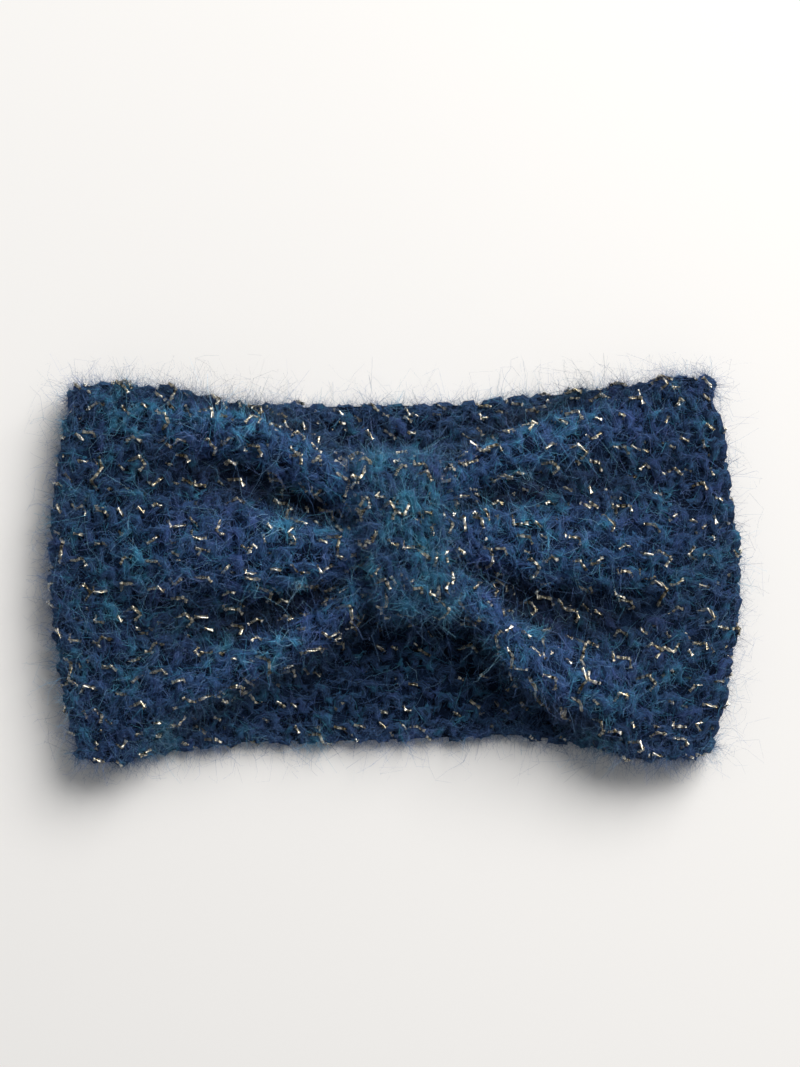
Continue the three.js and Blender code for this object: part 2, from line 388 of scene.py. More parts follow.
def grid_mesh(name: str, points: np.ndarray) -> bpy.types.Mesh:
    """Makes a mesh of quads from a grid of points.

    Args:
        name: The mesh's name.
        points: Rings by points across by 3, in metres.

    Returns:
        The mesh, with its faces towards the outward side.
    """
    rings, across = points.shape[:2]
    a = np.arange(rings - 1)[:, None] * across + np.arange(across - 1)[None, :]
    b = a + across
    return quad_mesh(name, points, np.stack([a, a + 1, b + 1, b], axis=-1))


def shell_mesh(name: str, cloth: Cloth, thick: float, skip: int) -> bpy.types.Mesh:
    """Makes a closed sheet of the given thickness on the middle surface of a knit piece.

    Args:
        name: The mesh's name.
        cloth: The knit piece.
        thick: Thickness in mm.
        skip: Every how many rings and points to keep.

    Returns:
        The closed mesh with a UV map along and across the cloth.
    """
    p = cloth.points[:-1:skip, ::skip]
    away = cloth.away[:-1:skip, ::skip]
    wall = cloth.wall[::skip][: len(p), None, None]
    over = p + away * thick / 2 * wall
    under = p - away * thick / 2 * wall
    loop = np.concatenate([over, under[:, ::-1]], axis=1) * MM
    rings, n = loop.shape[:2]
    i = np.arange(rings)[:, None]
    j = np.arange(n)[None, :]
    next_i, next_j = (i + 1) % rings, (j + 1) % n
    faces = np.stack([i * n + j, i * n + next_j, next_i * n + next_j, next_i * n + j], axis=-1)
    mesh = quad_mesh(name, loop, faces)
    corner = np.tile(np.arange(4), rings * n)
    ring = np.repeat(i + 0 * j, 4, axis=1).reshape(-1) + (corner >= 2)
    uv = np.stack([ring / rings, (corners(mesh) % n) / n], axis=1)
    mesh.uv_layers.new(name="UVMap").data.foreach_set("uv", uv.ravel())
    return mesh


def add_object(name: str, data: Any) -> bpy.types.Object:
    """Adds an object to the scene.

    Args:
        name: The object's name.
        data: Its mesh, light or camera.

    Returns:
        The object.
    """
    made = bpy.data.objects.new(name, data)
    bpy.context.scene.collection.objects.link(made)
    return made


@dataclass
class BandForm:
    """Middle surface of the band: a flattened loop whose front panel is pinched into folds. Sizes in mm.

    Attributes:
        side_from: Distance from the middle where the side folds start to move a station.
        side_over: Distance over which that eases in.
        lean_whole: Distance from the middle up to which the panel leans with the knot.
        lean_none: Distance from which it doesn't lean.
        fold_points: Points from one fold line to the next.
        station: Distance between stations.
        half_turn: Rings on half of a side fold.
    """

    side_from: float = 60
    side_over: float = 47
    lean_whole: float = 15
    lean_none: float = 50
    fold_points: int = 24
    station: float = 1.4
    half_turn: int = 8

    def __post_init__(self) -> None:
        """Reads the tables."""
        x = [row[0] for row in OUTLINE]
        self.top_line = MonotoneCurve(x, [row[1] - HEM_ROUND for row in OUTLINE])
        self.bottom_line = MonotoneCurve(x, [row[2] + HEM_ROUND for row in OUTLINE])
        self.left_edge = MonotoneCurve(SIDE_Y, SIDE_LEFT)
        self.right_edge = MonotoneCurve(SIDE_Y, SIDE_RIGHT)
        self.crest = MonotoneCurve(PINCH_AT, PINCH_ROUND)
        self.wall = MonotoneCurve(PINCH_AT, PINCH_WALL)
        stations = LEFT_AT[::-1] + RIGHT_AT
        self.lines = []
        for name, (left_y, left_z) in LEFT_FOLDS.items():
            right_y, right_z = RIGHT_FOLDS[name]
            line_y = MonotoneCurve(stations, left_y[::-1] + right_y)
            line_z = MonotoneCurve(stations, left_z[::-1] + right_z)
            self.lines.append((line_y, line_z))

    def side_shift(self, x: float, y: Any) -> Any:
        """Finds how far the side folds, which curve with y, move a station.

        Args:
            x: The station.
            y: One place on it or an array of places.

        Returns:
            The shift along x.
        """
        share = smooth((abs(x) - self.side_from) / self.side_over)
        inset = FOLD_RADIUS + WALL / 2
        edge = self.left_edge(y) + inset - LEFT_END if x < 0 else self.right_edge(y) - inset - RIGHT_END
        return share * edge

    def knot_shift(self, x: float, y: Any) -> Any:
        """Finds how far the lean of the knot moves a station."""
        share = 1 - smooth((abs(x) - self.lean_whole) / (self.lean_none - self.lean_whole))
        return share * (LEAN_X + (LEAN_Y - y) * LEAN_SLOPE)

    def hems(self, x: float) -> tuple[float, float]:
        """Finds the hems at a station.

        Args:
            x: The station.

        Returns:
            The y of the upper and of the lower hem's last row.
        """
        top = self.top_line(x + self.side_shift(x, HALF_DEPTH))
        bottom = self.bottom_line(x + self.side_shift(x, -HALF_DEPTH))
        return float(top), float(bottom)

    def front_ring(self, x: float, count: int) -> np.ndarray:
        """Lays points across the front panel at one station.

        Args:
            x: The station.
            count: Points to return.

        Returns:
            Evenly spaced points, count by 3.
        """
        top, bottom = self.hems(x)
        t = np.arange(self.fold_points) / self.fold_points
        along = t + self.crest(abs(x)) * np.sin(TAU * t) / TAU
        wave = (1 - np.cos(math.pi * t)) / 2
        places = [(float(np.clip(a(x), bottom, top)), float(b(x))) for a, b in self.lines]
        y: list[float] = []
        z: list[float] = []
        for (y0, z0), (y1, z1) in zip(places[:-1], places[1:]):
            y.extend(y0 + (y1 - y0) * along)
            z.extend(z0 + (z1 - z0) * wave)
        ys = np.array([*y, places[-1][0]])
        zs = np.array([*z, places[-1][1]])
        xs = x + self.side_shift(x, ys) + self.knot_shift(x, ys)
        return spread(np.stack([xs, ys, zs], axis=1), count)

    def fold_ring(self, x: float, turn: float, count: int) -> np.ndarray:
        """Lays points across a side fold.

        Args:
            x: The end of the panel, left or right.
            turn: 0 at the front panel and 1 at the back panel.
            count: Points to return.

        Returns:
            Evenly spaced points, count by 3.
        """
        top, bottom = self.hems(x)
        y = np.linspace(top, bottom, count)
        angle = turn * math.pi
        xs = x + self.side_shift(x, y) + math.copysign(FOLD_RADIUS * math.sin(angle), x)
        z = np.full(count, BACK_Z + FOLD_RADIUS * (1 + math.cos(angle)))
        return np.stack([xs, y * (1 - FOLD_DRAW * math.sin(angle)), z], axis=1)

    def back_ring(self, x: float, count: int) -> np.ndarray:
        """Lays points across the back panel at one station.

        Args:
            x: The station.
            count: Points to return.

        Returns:
            Evenly spaced points, count by 3.
        """
        top, bottom = self.hems(x)
        y = np.linspace(top, bottom, count)
        return np.stack([x + self.side_shift(x, y), y, np.full(count, BACK_Z)], axis=1)

    def cloth(self, stitches: int, rows: int, lift: float) -> Cloth:
        """Builds the whole loop, starting and ending at the crest of the left side fold.

        Args:
            stitches: Stitches round the loop.
            rows: Rows across.
            lift: How far to raise the loop, in mm.

        Returns:
            The knit piece.
        """
        count = 4 * rows + 1
        half = self.half_turn
        turns = np.linspace(0, 1, 2 * half + 1)
        stations = np.arange(LEFT_END, RIGHT_END, self.station)
        rings = [self.fold_ring(LEFT_END, t, count) for t in turns[half:0:-1]]
        rings += [self.front_ring(x, count) for x in stations]
        wall = [1.0] * half + [float(self.wall(abs(x))) / WALL for x in stations]
        rings += [self.fold_ring(RIGHT_END, t, count) for t in turns]
        rings += [self.back_ring(x, count) for x in stations[:0:-1]]
        rings += [self.fold_ring(LEFT_END, t, count) for t in turns[: half - 1 : -1]]
        wall += [1.0] * (len(rings) - len(wall))
        points = np.array(rings) + np.array([CENTRE[0], CENTRE[1], lift])
        return Cloth(points, np.array(wall), stitches, rows)


@dataclass
class RingForm:
    """Middle surface of the centre ring: a strip closed round the pinched front. Sizes in mm.

    Attributes:
        y: Its middle, up the picture.
        z: Height of its middle.
        half_height: Half of its size up the picture.
        half_depth: Half of its size off the ground.
        squareness: 2 for an ellipse, more for flatter faces.
        half_width_top: Half of its width at its upper end.
        half_width_bottom: Half of its width at its lower end.
        bulge: How far its middle stands over its edges.
        rings: Rings of points round it.
        across: Points on each stitch across it.
    """

    y: float = 11.7
    z: float = 18.6
    half_height: float = 24.1
    half_depth: float = 10.95
    squareness: float = 4.0
    half_width_top: float = 12.9
    half_width_bottom: float = 11.4
    bulge: float = 0.6
    rings: int = 241
    across: int = 8

    def cloth(self, stitches: int, rows: int) -> Cloth:
        """Builds the ring, starting and ending under the pinched front.

        Args:
            stitches: Stitches across its width.
            rows: Rows of knit round the ring, which rise towards the upper hem on its top face.

        Returns:
            The knit piece, whose courses run across it.
        """
        angle = -np.linspace(0, TAU, 6 * (self.rings - 1) + 1) - math.pi / 2
        c, s = np.cos(angle), np.sin(angle)
        power = 2 / self.squareness
        y = self.y + self.half_height * np.sign(c) * np.abs(c) ** power
        z = self.z + self.half_depth * np.sign(s) * np.abs(s) ** power
        path = spread(np.stack([np.zeros_like(y), y, z], axis=1), self.rings)
        step = np.roll(path[:-1], -1, axis=0) - np.roll(path[:-1], 1, axis=0)
        step = np.concatenate([step, step[:1]])
        out = np.stack([np.zeros(len(step)), -step[:, 2], step[:, 1]], axis=1)
        out /= np.linalg.norm(out, axis=1, keepdims=True)
        across = np.linspace(-1, 1, self.across * stitches + 1)
        up = np.clip((path[:, 1] - self.y + self.half_height) / (2 * self.half_height), 0, 1)
        half = self.half_width_bottom + (self.half_width_top - self.half_width_bottom) * up
        x = half[:, None] * across[None, :]
        puff = self.bulge * np.clip(out[:, 2:] + 0.2, 0, 1) * (1 - across[None, :] ** 2)
        points = path[:, None, :] + out[:, None, :] * puff[..., None]
        points[..., 0] = x + LEAN_X + (LEAN_Y - points[..., 1]) * LEAN_SLOPE
        points += np.array([CENTRE[0], CENTRE[1], 0])
        return Cloth(points, np.ones(len(path)), rows, stitches, crosswise=True, margin=1)


class Field:
    """A number or vector in a node tree that can be written in a formula."""

    def __init__(self, net: Net, socket: Any) -> None:
        """Keeps the tree and the socket that gives the value."""
        self.net = net
        self.socket = socket

    def math(self, operation: str, *others: Any) -> Field:
        """Applies one of the Math node's operations with this value first."""
        return self.net.math(operation, self, *others)

    def __add__(self, other: Any) -> Field:
        """Adds a number."""
        return self.math("ADD", other)

    def __radd__(self, other: Any) -> Field:
        """Adds to a number."""
        return self.math("ADD", other)

    def __sub__(self, other: Any) -> Field:
        """Takes away a number."""
        return self.math("SUBTRACT", other)

    def __rsub__(self, other: Any) -> Field:
        """Takes this from a number."""
        return self.net.math("SUBTRACT", other, self)

    def __mul__(self, other: Any) -> Field:
        """Multiplies by a number."""
        return self.math("MULTIPLY", other)

    def __rmul__(self, other: Any) -> Field:
        """Multiplies a number."""
        return self.math("MULTIPLY", other)

    def __truediv__(self, other: Any) -> Field:
        """Divides by a number."""
        return self.math("DIVIDE", other)


class Net:
    """Adds nodes to one tree and wires them."""

    def __init__(self, tree: bpy.types.NodeTree) -> None:
        """Keeps the tree."""
        self.tree = tree

    def feed(self, socket: Any, value: Any) -> None:
        """Links or sets one socket.

        Args:
            socket: The input socket.
            value: A Field, another node's socket, or a constant.
        """
        if isinstance(value, Field):
            value = value.socket
        if isinstance(value, bpy.types.NodeSocket):
            self.tree.links.new(value, socket)
        else:
            socket.default_value = value

    def node(self, kind: str, inputs: dict[Any, Any] | None = None, **settings: Any) -> bpy.types.Node:
        """Adds a node.

        Args:
            kind: The node's type.
            inputs: Values by the socket's name or number.
            settings: The node's own properties.

        Returns:
            The node.
        """
        made = self.tree.nodes.new(kind)
        for name, value in settings.items():
            setattr(made, name, value)
        for key, value in (inputs or {}).items():
            if isinstance(key, int):
                socket = made.inputs[key]
            else:
                socket = next(s for s in made.inputs if s.enabled and s.name == key)
            self.feed(socket, value)
        return made

    def out(self, kind: str, inputs: dict[Any, Any] | None = None, **settings: Any) -> Field:
        """Adds a node and gives its first live output."""
        made = self.node(kind, inputs, **settings)
        return Field(self, next(s for s in made.outputs if s.enabled))

    def math(self, operation: str, *values: Any) -> Field:
        """Adds a Math node on up to three values."""
        return self.out("ShaderNodeMath", dict(enumerate(values)), operation=operation)

    def vector(self, operation: str, *values: Any) -> Field:
        """Adds a Vector Math node on up to two vectors."""
        return self.out("ShaderNodeVectorMath", dict(enumerate(values)), operation=operation)

    def scale(self, vector: Any, factor: Any) -> Field:
        """Multiplies a vector by a number."""
        return self.out("ShaderNodeVectorMath", {0: vector, 3: factor}, operation="SCALE")

    def combine(self, x: Any, y: Any, z: Any) -> Field:
        """Makes a vector of three numbers."""
        return self.out("ShaderNodeCombineXYZ", {0: x, 1: y, 2: z})

    def split(self, vector: Any) -> tuple[Field, Field, Field]:
        """Gives a vector's three numbers."""
        made = self.node("ShaderNodeSeparateXYZ", {0: vector})
        return tuple(Field(self, s) for s in made.outputs)

    def noise(self, at: Any, scale: Any, detail: float = 2.0, color: bool = False) -> Field:
        """Adds a noise texture.

        Args:
            at: The vector to read it at.
            scale: Its scale.
            detail: Its octaves.
            color: True for three numbers, False for one.

        Returns:
            The noise, around 0.5.
        """
        made = self.node("ShaderNodeTexNoise", {"Vector": at, "Scale": scale, "Detail": detail})
        return Field(self, made.outputs["Color" if color else "Fac"])

    def wander(self, at: Any, detail: float = 1.0) -> Field:
        """Adds a noise of three numbers round 0."""
        return self.vector("SUBTRACT", self.noise(at, 1.0, detail, color=True), (0.5, 0.5, 0.5))

    def ramp(self, value: Any, low: float, high: float) -> Field:
        """Eases a value from 0 at low to 1 at high."""
        given = {"Value": value, "From Min": low, "From Max": high}
        return self.out("ShaderNodeMapRange", given, interpolation_type="SMOOTHSTEP")

    def group_inputs(self, values: dict[str, Any]) -> dict[str, Field]:
        """Gives the tree named inputs.

        Args:
            values: The default of each input by name; the kind of the input follows from it.

        Returns:
            The inputs as fields by name.
        """
        for name, value in values.items():
            kind = SOCKET_KINDS[type(value)]
            made = self.tree.interface.new_socket(name=name, in_out="INPUT", socket_type=kind)
            if not isinstance(value, (Shape, Dress)):
                made.default_value = value
        start = self.tree.nodes.new("NodeGroupInput")
        return {name: Field(self, start.outputs[name]) for name in values}

    def result(self, outputs: dict[str, tuple[str, Any]]) -> None:
        """Gives the tree named outputs.

        Args:
            outputs: The socket type and the value of each output by name.
        """
        for name, (kind, _) in outputs.items():
            self.tree.interface.new_socket(name=name, in_out="OUTPUT", socket_type=kind)
        end = self.tree.nodes.new("NodeGroupOutput")
        for name, (_, value) in outputs.items():
            self.feed(end.inputs[name], value)


class Shape:
    """Stands for a geometry input of a tree."""


class Dress:
    """Stands for a material input of a tree."""


SOCKET_KINDS = {
    float: "NodeSocketFloat",
    int: "NodeSocketInt",
    tuple: "NodeSocketColor",
    Vector: "NodeSocketVector",
    Shape: "NodeSocketGeometry",
    Dress: "NodeSocketMaterial",
}

COURSE_INPUTS: dict[str, Any] = {
    "Surface": Shape(),
    "First stitch": 0.0,
    "Stitches": 28,
    "First row": 0.0,
    "Rows": 24,
    "Steps": 14,
    "Lean": 0.13,
    "Swing": 0.85,
    "Depth": 0.00125,
    "Turns": 0.5,
    "Unevenness": 0.3,
    "Seed": 3,
    "Whole stitches": 56,
    "Whole rows": 28,
    "Margin stitches": 0,
    "Margin rows": 2,
    "Lowest row": 0.0,
    "Highest row": 24.0,
}


def named(net: Net, name: str, kind: str = "FLOAT") -> Field:
    """Adds a Named Attribute node."""
    return net.out("GeometryNodeInputNamedAttribute", {"Name": name}, data_type=kind)


def stored(net: Net, shape: Any, name: str, value: Any, kind: str = "FLOAT") -> Field:
    """Adds a Store Named Attribute node on points."""
    given = {"Geometry": shape, "Name": name, "Value": value}
    return net.out("GeometryNodeStoreNamedAttribute", given, data_type=kind, domain="POINT")


def course_path(net: Net, g: dict[str, Field]) -> Field:
    """Adds the nodes that lay courses of knit loops on a surface.

    Each course is a line of points. A stitch's loop rises, turns over and comes down again, leaning over its
    neighbours, and every other loop stands on the other side of the cloth, as in seed stitch.

    Args:
        net: The geometry tree.
        g: Its inputs, which hold those of COURSE_INPUTS.

    Returns:
        The courses as curves.
    """
    per = g["Stitches"] * g["Steps"] + 1
    index = net.out("GeometryNodeInputIndex")
    course = ((index + 0.5) / per).math("FLOOR")
    step = index - course * per
    stitch = g["First stitch"] + step / g["Steps"]
    line = net.out("GeometryNodeMeshLine", {"Count": per * g["Rows"]})
    ends = step.math("COMPARE", per - 1, 0.5)
    cut = {"Geometry": line, "Selection": ends}
    lines = net.out("GeometryNodeDeleteGeometry", cut, domain="EDGE", mode="EDGE_FACE")

    # Place in stitches and rows, with every loop a little uneven and the rows at the hems a little ragged
    turn = stitch * TAU
    across = g["First row"] + course + 0.5
    at = net.combine(stitch * 0.9, across * 1.7, g["Seed"])
    jump_x, jump_y, jump_z = net.split(net.scale(net.wander(at), g["Unevenness"]))
    x = stitch + g["Lean"] * (turn * 2).math("SINE") + jump_x * 2
    y = across - g["Swing"] * turn.math("COSINE") + jump_y * 4
    ragged = net.noise(net.combine(stitch * 1.3, g["Seed"], 0.0), 1.0, 0.0) * 0.9 - 0.55
    y = y.math("MAXIMUM", g["Lowest row"] + ragged).math("MINIMUM", g["Highest row"] - ragged)
    odd = 1 - course.math("FLOORED_MODULO", 2) * 2
    side = odd * (turn * g["Turns"]).math("SINE")
    z = g["Depth"] * (side + jump_z * 3)

    # The same place in the surface's chart, kept just inside its edges
    u = ((x + g["Margin stitches"]) / g["Whole stitches"]).math("FRACT")
    v = ((y + g["Margin rows"]) / g["Whole rows"]).math("FRACT")
    near, far = (2e-4, 2e-4, 0.0), (0.9998, 0.9998, 0.0)
    uv = net.vector("MINIMUM", net.vector("MAXIMUM", net.combine(u, v, 0.0), near), far)
    chart = named(net, "UVMap", "FLOAT_VECTOR")

    def sample(value: Field, kind: str = "FLOAT") -> Field:
        """Reads a value of the surface at the stitch's place in the chart."""
        given = {"Mesh": g["Surface"], "Value": value, "UV Map": chart, "Sample UV": uv}
        return net.out("GeometryNodeSampleUVSurface", given, data_type=kind)

    place = sample(net.out("GeometryNodeInputPosition"), "FLOAT_VECTOR")
    out = sample(named(net, "away", "FLOAT_VECTOR"), "FLOAT_VECTOR")
    thick = sample(named(net, "wall"))
    place = net.vector("ADD", place, net.scale(out, z * thick))
    shape = net.out("GeometryNodeSetPosition", {"Geometry": lines, "Position": place})
    shape = stored(net, shape, "thread", net.combine(stitch, across, side), "FLOAT_VECTOR")
    shape = stored(net, shape, "out", out, "FLOAT_VECTOR")
    shape = stored(net, shape, "thick", thick)
    shape = stored(net, shape, "crest", sample(named(net, "crest")))
    curve = net.out("GeometryNodeMeshToCurve", {"Mesh": shape})
    length = Field(net, net.node("GeometryNodeSplineParameter").outputs["Length"])
    return stored(net, curve, "run", length)


def swept(
    net: Net, curve: Any, plies: Sequence[tuple[float, float]], sides: Any, radius: Any, wide: float = 1.0
) -> Field:
    """Adds the nodes that sweep a bundle of plies along curves.

    Args:
        net: The geometry tree.
        curve: The curves.
        plies: Where the middle of each ply is in the section, in radii of a ply.
        sides: Sides of a ply.
        radius: Radius of a ply, which may vary along the curves.
        wide: Width of a ply's section as a share of its height.

    Returns:
        The mesh, whose attribute "around" holds the place in the section.
    """
    circle = net.out("GeometryNodeCurvePrimitiveCircle", {"Resolution": sides, "Radius": 1.0}, mode="RADIUS")
    bundle = net.node("GeometryNodeJoinGeometry")
    for x, y in plies:
        given = {"Geometry": circle, "Translation": (x, y, 0.0), "Scale": (wide, 1, 1)}
        net.feed(bundle.inputs[0], net.out("GeometryNodeTransform", given))
    spot = net.out("GeometryNodeInputPosition")
    section = stored(net, bundle.outputs[0], "around", spot, "FLOAT_VECTOR")
    given = {"Curve": curve, "Profile Curve": section, "Scale": radius, "Fill Caps": True}
    return net.out("GeometryNodeCurveToMesh", given)


def finish_tree(net: Net, mesh: Any, material: Any) -> None:
    """Ends a geometry tree with nothing under the ground, smooth shading, real geometry and its material.

    Args:
        net: The geometry tree.
        mesh: What it has made.
        material: The material for it.
    """
    x, y, z = net.split(net.out("GeometryNodeInputPosition"))
    place = net.combine(x, y, z.math("SMOOTH_MAX", GROUND_GAP, GROUND_EASE))
    steps = {
        "GeometryNodeSetPosition": {"Position": place},
        "GeometryNodeSetShadeSmooth": {},
        "GeometryNodeRealizeInstances": {},
        "GeometryNodeSetMaterial": {"Material": material},
    }
    for kind, given in steps.items():
        mesh = net.out(kind, {"Geometry": mesh, **given})
    net.result({"Geometry": ("NodeSocketGeometry", mesh)})


def yarn_tree() -> bpy.types.NodeTree:
    """Builds the tree that knits yarn on a surface.

    Returns:
        The geometry tree.
    """
    net = Net(bpy.data.node_groups.new("Knit yarn", "GeometryNodeTree"))
    g = net.group_inputs({**COURSE_INPUTS, "Radius": 0.0015, "Sides": 8, "Material": Dress()})
    curve = course_path(net, g)
    curve = stored(net, curve, "along", net.out("GeometryNodeInputTangent"), "FLOAT_VECTOR")
    tilt = named(net, "run") * (TAU / YARN_TURN)
    curve = net.out("GeometryNodeSetCurveTilt", {"Curve": curve, "Tilt": tilt})
    lumps = net.noise(named(net, "thread", "FLOAT_VECTOR"), 2.3, 1.0) - 0.5
    radius = g["Radius"] * (lumps * 1.1 + 1) * (named(net, "thick") * 0.45 + 0.55)
    mesh = swept(net, curve, ((0.0, 0.0),), g["Sides"], radius, YARN_WIDE)
    finish_tree(net, mesh, g["Material"])
    return net.tree


def gold_tree() -> bpy.types.NodeTree:
    """Builds the tree that winds a bundle of metallic threads round the yarn.

    Only the short dashes that show are kept.

    Returns:
        The geometry tree.
    """
    net = Net(bpy.data.node_groups.new("Gold thread", "GeometryNodeTree"))
    extra = {"Yarn radius": 0.001, "Pitch": 0.015, "Face": 1.0, "Share": 0.5, "Radius": 0.00031}
    g = net.group_inputs({**COURSE_INPUTS, **extra, "Material": Dress()})
    curve = course_path(net, g)
    tangent = net.out("GeometryNodeInputTangent")
    beside = net.vector("NORMALIZE", net.vector("CROSS_PRODUCT", tangent, named(net, "out", "FLOAT_VECTOR")))
    over = net.vector("CROSS_PRODUCT", beside, tangent)
    stitch, row, side = net.split(named(net, "thread", "FLOAT_VECTOR"))
    level = (stitch * (2 * TAU)).math("COSINE") * 1.1
    run = named(net, "run")
    angle = run * TAU / g["Pitch"] + row * 2.4
    # A dash shows on the outer side of the yarn, where a loop runs level, and then only by chance
    height = angle.math("COSINE")
    both = height.math("ABSOLUTE") * (1 - g["Face"])
    facing = ((height + side * 0.9) * g["Face"]).math("MAXIMUM", both) + level
    swell = net.noise(net.combine(run * 92, row * 3.1, g["Seed"]), 1.0, 0.0)
    turned = net.vector("ADD", net.scale(over, height), net.scale(beside, angle.math("SINE")))
    given = {"Geometry": curve, "Offset": net.scale(turned, g["Yarn radius"] * GOLD_OFF)}
    curve = stored(net, net.out("GeometryNodeSetPosition", given), "seen", facing * 0.3 + swell)
    lines = net.out("GeometryNodeCurveToMesh", {"Curve": curve})
    hidden = named(net, "seen").math("LESS_THAN", 1.3 - g["Share"])
    given = {"Geometry": lines, "Selection": hidden}
    dashes = net.out("GeometryNodeDeleteGeometry", given, domain="EDGE", mode="EDGE_FACE")
    dashes = net.out("GeometryNodeSplitEdges", {"Mesh": dashes})
    curve = net.out("GeometryNodeMeshToCurve", {"Mesh": dashes})
    curve = net.out("GeometryNodeResampleCurve", {"Curve": curve, "Length": GOLD_PIECE}, mode="LENGTH")
    spot = net.out("GeometryNodeInputPosition")
    bend = net.scale(net.wander(net.scale(spot, 260.0), 0.0), GOLD_BEND)
    curve = net.out("GeometryNodeSetPosition", {"Geometry": curve, "Offset": bend})
    curve = net.out("GeometryNodeSetCurveTilt", {"Curve": curve, "Tilt": run * (TAU / GOLD_TURN)})
    crumpled = net.noise(net.scale(spot, 900.0), 1.0, 0.0) * 0.5 + 0.75
    mesh = swept(net, curve, GOLD_THREADS, 3, g["Radius"] * crumpled)
    finish_tree(net, mesh, g["Material"])
    return net.tree


def patch_of_color(net: Net, spot: Any, thread: Any, shift: Any) -> Field:
    """Adds the nodes that say how the dye runs: small patches, and longer stretches along each course.

    Args:
        net: A geometry or shader tree.
        spot: The place on the object.
        thread: The place in the knitting, in stitches and rows.
        shift: The middle of the result, more for more teal.

    Returns:
        About 0 where the yarn is purple, 0.5 where it is navy and 1 where it is teal.
    """
    small = net.noise(net.scale(spot, 210.0), 1.0, 1.0)
    stitch, row, _ = net.split(thread)
    long = net.noise(net.combine(stitch * 0.45, row * 1.7, 3.0), 1.0, 1.0)
    return (small - 0.5) * 1.5 + (long - 0.5) * 1.3 + shift


